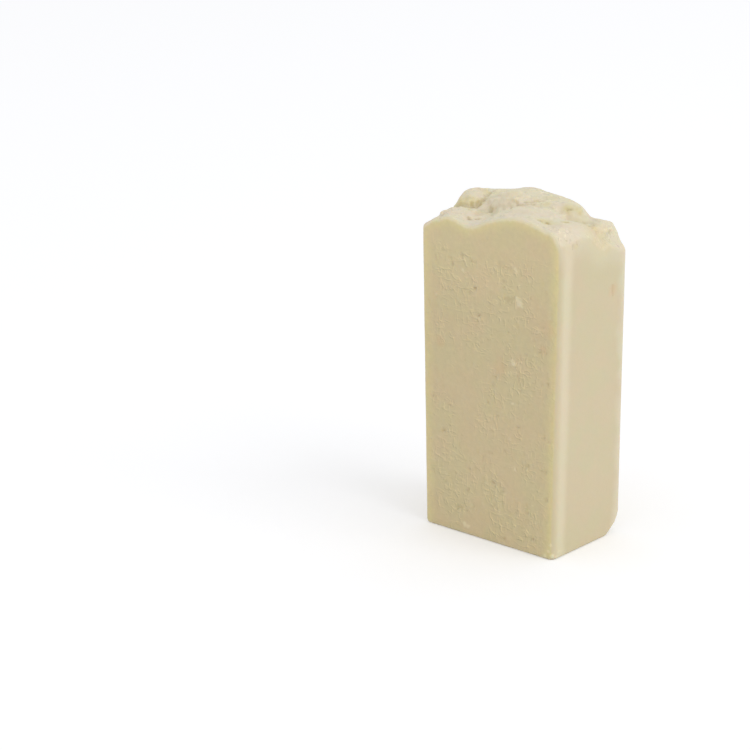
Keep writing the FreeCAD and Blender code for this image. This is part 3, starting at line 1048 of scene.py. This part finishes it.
# %% [markdown]
# ## Drag marks and tears
#
# Beside the flakes, the wire left upright drag marks and small torn pits. They are too many and too faint
# to place one by one, and noise gives them: squeezed sideways for the drag marks, and cut off high for the
# pits. They only ever go inwards, and they fade towards the crust. The mould sides get a different touch,
# the slow waves of a liner that wasn't stretched tight.

# %% Mark the cuts
MARKS = {
    "Scratch width": 0.9 * MM,
    "Scratch depth": 0.22 * MM,
    "Pit size": 3.0 * MM,
    "Pit depth": 0.70 * MM,
    "Cluster size": 11.0 * MM,
    "Wave length": 22 * MM,
    "Wave depth": 0.25 * MM,
    "Room at the edge": 3.0 * MM,
}


def mark_tree():
    tree, given, result = new_tree("marks_of_wire_and_mould", MARKS)
    position = add(tree, "GeometryNodeInputPosition").outputs[0]
    parts = split(tree, position)
    normal = add(tree, "GeometryNodeInputNormal").outputs[0]
    faces = split(tree, normal)
    side, cut = room_to_side(tree, parts), room_to_cut(tree, parts)
    by_height = ramp(tree, parts["Z"], 77 * MM, 84 * MM, 1.0, 0.35)
    by_height = maths(tree, "MULTIPLY", by_height, ramp(tree, parts["Z"], 0.0, 3 * MM))
    near_cut = ramp(tree, cut, 0.5 * MM, 1.0 * MM, 1.0, 0.0)
    on_cut = maths(tree, "MULTIPLY", near_cut, ramp(tree, side, 1.0 * MM, given["Room at the edge"]))
    cluster = ramp(tree, noise(tree, position, given["Cluster size"], 2.0)[0], 0.40, 0.60)

    # Seen by the noise the bar is three times as low, so its spots come out tall, and they slant a little.
    tilt = add(tree, "ShaderNodeCombineXYZ", {
        "X": maths(tree, "MULTIPLY_ADD", parts["Z"], 0.25, parts["X"]), "Y": parts["Y"],
        "Z": maths(tree, "MULTIPLY", parts["Z"], 0.3),
    }).outputs[0]
    scratch = ramp(tree, noise(tree, tilt, given["Scratch width"], 3.0, 0.6)[0], 0.5, 0.72)
    scratch = maths(tree, "MULTIPLY", scratch, given["Scratch depth"])
    pit = ramp(tree, noise(tree, position, given["Pit size"], 3.0, 0.6)[0], 0.56, 0.70)
    pit = maths(tree, "MULTIPLY", maths(tree, "MULTIPLY", pit, given["Pit depth"]), cluster)
    into_cut = maths(tree, "MULTIPLY", maths(tree, "ADD", scratch, pit), on_cut)

    wave = ramp(tree, noise(tree, position, given["Wave length"], 1.5)[0], 0.3, 0.7, smooth=False)
    on_side = maths(tree, "MULTIPLY", ramp(tree, side, 0.5 * MM, 1.0 * MM, 1.0, 0.0),
                    ramp(tree, cut, 1.0 * MM, 3 * MM))
    into_side = maths(tree, "MULTIPLY", maths(tree, "MULTIPLY", wave, given["Wave depth"]), on_side)
    inwards = maths(tree, "MULTIPLY", maths(tree, "ADD", into_cut, into_side), by_height)
    offset = scaled(tree, normal, maths(tree, "MULTIPLY", inwards, -1.0))
    moved = add(tree, "GeometryNodeSetPosition", {"Geometry": given["Geometry"], "Offset": offset})
    finish_tree(tree, moved.outputs[0], result)
    return tree


run_tree(bar, mark_tree(), MARKS)
remesh(bar, VOXEL)
print("marked skin:", len(bar.data.vertices), "corners")

# %% [markdown]
# ## Where the soap is pale, damp or given painted shade
#
# The material needs to know a few things about each place: is it crust, how far is it from the crust's
# edge, is it in a hollow, is it on a named flake. All of them can be measured on the finished mesh and
# stored with it as attributes, so the colours follow the shape wherever it goes. Hollows, pits and tears
# take painted shade from them, a darker colour for the shadow in them. The damp spots are places where
# the crust dried last and stayed yellow, and the blushes are where the soap is a touch pinker. Both are
# named one by one.

# %% Measure the crust and the hollows
def store(mesh, name, values):
    layer = mesh.attributes.new(name, "FLOAT", "POINT")
    layer.data.foreach_set("value", np.ascontiguousarray(values, np.float32))


OFF_THE_FACES = 0.45 * MM
DEEPEST_SCAR = 1.4 * MM
FARTHEST = 20 * MM


def measure_crust(piece, rows):
    """Crust is what lies near the top and off the four upright faces, apart from scars in the cuts."""
    inside_x = half_width_at(rows[:, 2]) - abs(rows[:, 0])
    inside_y = np.minimum(rows[:, 1] - FRONT, back_at(rows[:, 2]) - rows[:, 1])
    off_planes = np.minimum(inside_x, inside_y) > OFF_THE_FACES
    scarred_cut = (inside_y < DEEPEST_SCAR) & (abs(normals(piece.data)[:, 1]) > 0.6)
    crust = (off_planes & ~scarred_cut & (rows[:, 2] > CRUST_STARTS)).astype(float)
    store(piece.data, "crust", smoothed(piece.data, crust, 2))
    # A search tree finds the nearest corner of the crust for every corner in the upper part.
    tree = kdtree.KDTree(int(crust.sum()))
    for i in np.flatnonzero(crust):
        tree.insert(rows[i], i)
    tree.balance()
    near = rows[:, 2] > CRUST_STARTS - 10 * MM
    gap = np.full(len(rows), FARTHEST)
    gap[near] = [tree.find(row)[2] for row in rows[near]]
    store(piece.data, "from_crust", gap)
    print("crust corners:", int(crust.sum()))


# The depth at which a pit would take the painted shade in full, and the share of it that a tear takes per
# mm.
PIT_FULL_SHADE_AT = 1.8 * MM
TEAR_SHADE_PER_MM = 0.9
# A corner that lies this far under its calm surroundings counts as one whole hollow.
HOLLOW_UNIT = 0.12 * MM


# Painted shade: the pit attribute says how much of the darker shade colour each pit and tear takes.
def measure_hollows(piece, rows):
    pit = hollow_depth(rows, 0.45, 1.05) / PIT_FULL_SHADE_AT
    for start, end, reach, lift in FACE_MARKS.values():
        if lift < 0:
            pit = np.maximum(pit, -lift * TEAR_SHADE_PER_MM * ragged(rows, start, end, reach))
    store(piece.data, "pit", pit)
    calm = smoothed(piece.data, rows, 6)
    hollow = ((calm - rows) * normals(piece.data)).sum(1) / HOLLOW_UNIT
    store(piece.data, "hollow", smoothed(piece.data, np.clip(hollow, -1.5, 1.5), 2))
    print("hollow from", round(hollow.min(), 2), "to", round(hollow.max(), 2))


# %% Place the damp spots and the named flakes
# Each damp spot: its middle and its reach in millimetres, and how damp it is, from 0 to 1.
DAMP_SPOTS = {
    "under_the_lump": ((-21.4, -0.6, 90.0), 2.5, 1.0),
    "lump_foot": ((-19.6, 0.6, 90.3), 2.2, 0.9),
    "lump_crease": ((-17.6, 2.4, 90.0), 1.9, 0.8),
    "behind_the_lump": ((-19.0, 6.7, 91.6), 2.0, 0.7),
    "left_crown": ((-7.3, 3.9, 93.2), 3.4, 0.30),
    "back_crown": ((0.7, 10.0, 92.8), 3.2, 0.35),
    "groove": ((-0.2, 6.4, 92.6), 2.4, 0.60),
    "groove_end": ((3.0, 5.4, 92.3), 2.0, 0.55),
    "right_slope": ((9.6, 6.9, 91.8), 2.6, 0.95),
    "right_foot": ((11.4, 8.8, 91.0), 2.0, 0.85),
    "front_pits": ((14.2, -9.2, 92.0), 3.0, 0.80),
    "shelf_pits": ((17.2, -4.6, 92.0), 2.4, 0.80),
    "back_corner": ((17.5, 6.2, 88.4), 1.6, 0.50),
    "side_top": ((24.1, -8.6, 87.0), 1.3, 0.50),
    "right_shoulder": ((21.5, 3.0, 87.5), 9.0, 0.50),
}

# Each blush: the same three things.
BLUSHES = {
    "front_left": ((-17.2, -15.3, 54.3), 2.4, 0.65),
    "front_right": ((18.4, -15.3, 58.8), 1.8, 0.65),
    "front_rim": ((20.0, -15.3, 65.0), 3.2, 0.4),
    "front_middle": ((4.0, -15.3, 51.0), 3.2, 0.5),
    "side_smear": ((23.8, 8.0, 71.5), 2.4, 0.8),
    "crust_left": ((-12.0, -5.0, 90.0), 2.6, 0.6),
    "crown": ((-1.0, 6.0, 92.7), 3.4, 0.4),
    "right_shoulder": ((21.0, 3.0, 87.5), 7.0, 0.5),
}


def spread(rows, spots):
    """How much of the strongest spot reaches each corner."""
    total = np.zeros(len(rows))
    for middle, reach, amount in spots.values():
        gap = np.linalg.norm(rows - np.array(middle) * MM, axis=1)
        total = np.maximum(total, amount * (1 - soft_step(gap, 0.3 * reach * MM, reach * MM)))
    return total


def measure_spots(piece, rows):
    store(piece.data, "damp", spread(rows, DAMP_SPOTS))
    store(piece.data, "blush", spread(rows, BLUSHES))


def measure_flakes(piece, rows):
    flake = np.zeros(len(rows))
    for start, end, reach, lift in FACE_MARKS.values():
        if lift > 0:
            flake = np.maximum(flake, ragged(rows, start, end, reach))
    for middle, radius in CRUMBS:
        gap = np.linalg.norm(rows - np.array(middle) * MM, axis=1)
        flake = np.maximum(flake, 1 - soft_step(gap, radius * MM, (radius + 0.2) * MM))
    store(piece.data, "flake", flake)


skin = places(bar)
for measure in (measure_crust, measure_hollows, measure_spots, measure_flakes):
    measure(bar, skin)

# %% [markdown]
# ## Fewer triangles
#
# Even faces are right for sculpting, but the flat sides don't need them. Merging the flattest faces first
# more than halves the count and leaves the crust as it was. The attributes are carried along.

# %% Spend the triangles where the skin bends
def triangles(piece):
    return sum(len(face.vertices) - 2 for face in piece.data.polygons)


def thin_out(piece, most):
    """Merges faces, the flattest first, until the piece has no more triangles than that."""
    fewer = piece.modifiers.new("fewer", "DECIMATE")
    fewer.ratio = min(1.0, most / triangles(piece))
    bake_modifiers(piece)


print("triangles before:", triangles(bar))
thin_out(bar, MOST_TRIANGLES)
put_places(bar, trim(places(bar)))
bar.data.polygons.foreach_set("use_smooth", [True] * len(bar.data.polygons))
print("triangles after:", triangles(bar))

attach(bar, "root")
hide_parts("soap_bar")
